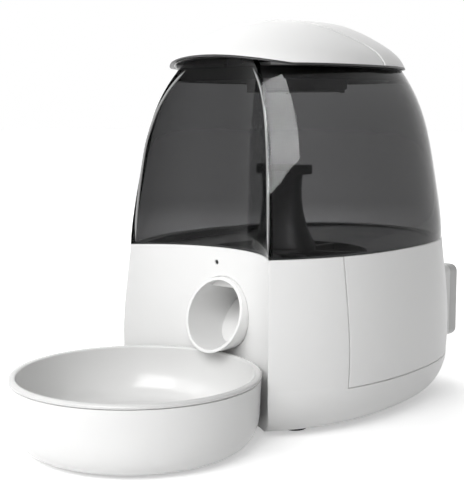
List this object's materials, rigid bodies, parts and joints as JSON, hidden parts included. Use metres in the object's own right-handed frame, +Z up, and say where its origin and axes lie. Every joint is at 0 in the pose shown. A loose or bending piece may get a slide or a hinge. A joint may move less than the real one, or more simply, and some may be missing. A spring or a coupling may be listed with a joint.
{
  "type": "programmable pet feeder",
  "caption": "Gravity hopper pet feeder: a portion wheel drops dry food through a spout into a bowl nested in the hollow front, with a hinged lid and a rear control pod.",
  "frame": {"origin": "centre of the feeder's footprint, on the surface that it stands on", "axes": "+Z up; -Y towards the pet, where the bowl stands; +X to the right seen from the front"},
  "size_m": [0.2056, 0.389, 0.2825],
  "materials": {
    "white_plastic": "satin white moulded plastic",
    "bowl_plastic": "satin white moulded plastic",
    "bowl_insert": "smooth white food-safe plastic",
    "chute_plastic": "satin white moulded plastic",
    "pod_plastic": "light grey matt plastic",
    "dark_plastic": "near-black matt plastic",
    "smoked_tank": "smoked clear plastic",
    "grey_plastic": "mid grey matt plastic",
    "rubber": "soft dark rubber",
    "steel": "plain steel",
    "board": "green circuit laminate",
    "black_plastic": "black matt plastic",
    "display": "dark clear window"
  },
  "bodies": {
    "base": {"main_housing": "white_plastic", "rear_cover": "white_plastic", "bottom_plate": "white_plastic", "battery_cover": "white_plastic", "chute": "chute_plastic", "control_pod": "pod_plastic", "hopper_floor": "dark_plastic", "hopper_collar": "dark_plastic", "latch_keeper": "dark_plastic", "shaft_bush": "dark_plastic", "hopper_tank": "smoked_tank", "battery_box": "grey_plastic", "bowl_dock": "grey_plastic", "gearbox_case": "grey_plastic", "gearbox_cover": "grey_plastic", "rubber_feet": "rubber", "outlet_wiper": "rubber", "keypad_mat": "rubber", "base_screws": "steel", "hinge_pin": "steel", "motor": "steel", "battery_cells": "steel", "battery_contacts": "steel", "circuit_board": "board", "board_components": "board", "speaker": "black_plastic", "power_inlet": "black_plastic", "microphone": "black_plastic", "display_module": "black_plastic", "display_window": "display"},
    "wheel": {"portion_wheel": "dark_plastic", "drive_shaft": "steel", "stirrer": "dark_plastic", "drive_gear": "grey_plastic"},
    "pinion": {"motor_pinion": "grey_plastic"},
    "lid": {"lid_shell": "white_plastic", "lid_crown": "white_plastic", "visor_liner": "dark_plastic", "lid_inner_plate": "grey_plastic", "lid_seal": "rubber", "desiccant_box": "grey_plastic"},
    "desiccant_door": {"desiccant_cover": "grey_plastic"},
    "press_button": {"lid_button": "white_plastic"},
    "latch": {"latch_hook": "grey_plastic"},
    "key_back": {"button_back": "pod_plastic"},
    "key_set": {"button_set": "pod_plastic"},
    "key_next": {"button_next": "pod_plastic"},
    "key_feed": {"button_feed": "pod_plastic"},
    "bowl": {"outer_bowl": "bowl_plastic", "bowl_pads": "rubber", "inner_bowl": "bowl_insert"}
  },
  "joints": [
    {"name": "wheel_spin", "type": "hinge", "parent": "base", "child": "wheel", "pos_m": [0, 0.0425, 0.1], "axis": [0, 0, 1], "continuous": true},
    {"name": "pinion_spin", "type": "hinge", "parent": "base", "child": "pinion", "pos_m": [0, 0.0635, 0.083], "axis": [0, 0, 1], "continuous": true},
    {"name": "lid_hinge", "type": "hinge", "parent": "base", "child": "lid", "pos_m": [0, 0.145, 0.2505], "axis": [-1, 0, 0], "range_deg": [0, 75]},
    {"name": "desiccant_hinge", "type": "hinge", "parent": "lid", "child": "desiccant_door", "pos_m": [0, 0.0755, 0.2314], "axis": [1, 0, 0], "range_deg": [0, 90]},
    {"name": "lid_press", "type": "slide", "parent": "lid", "child": "press_button", "axis": [0, 0, -1], "range_m": [0, 0.0022], "stiffness_N_per_m": 300, "springref_m": -0.0005},
    {"name": "latch_slide", "type": "slide", "parent": "lid", "child": "latch", "axis": [0, -1, 0], "range_m": [0, 0.0022]},
    {"name": "press_back", "type": "slide", "parent": "base", "child": "key_back", "axis": [0, -1, 0], "range_m": [0, 0.001], "stiffness_N_per_m": 300, "springref_m": -0.0003},
    {"name": "press_set", "type": "slide", "parent": "base", "child": "key_set", "axis": [0, -1, 0], "range_m": [0, 0.001], "stiffness_N_per_m": 300, "springref_m": -0.0003},
    {"name": "press_next", "type": "slide", "parent": "base", "child": "key_next", "axis": [0, -1, 0], "range_m": [0, 0.001], "stiffness_N_per_m": 300, "springref_m": -0.0003},
    {"name": "press_feed", "type": "slide", "parent": "base", "child": "key_feed", "axis": [0, -1, 0], "range_m": [0, 0.001], "stiffness_N_per_m": 300, "springref_m": -0.0003},
    {"name": "bowl_slide", "type": "slide", "parent": "base", "child": "bowl", "axis": [0, -1, 0], "range_m": [0, 0.11]}
  ],
  "couplings": [
    {"joint": "pinion_spin", "follows": "wheel_spin", "ratio": -3.2},
    {"joint": "latch_slide", "follows": "lid_press", "ratio": 1}
  ]
}
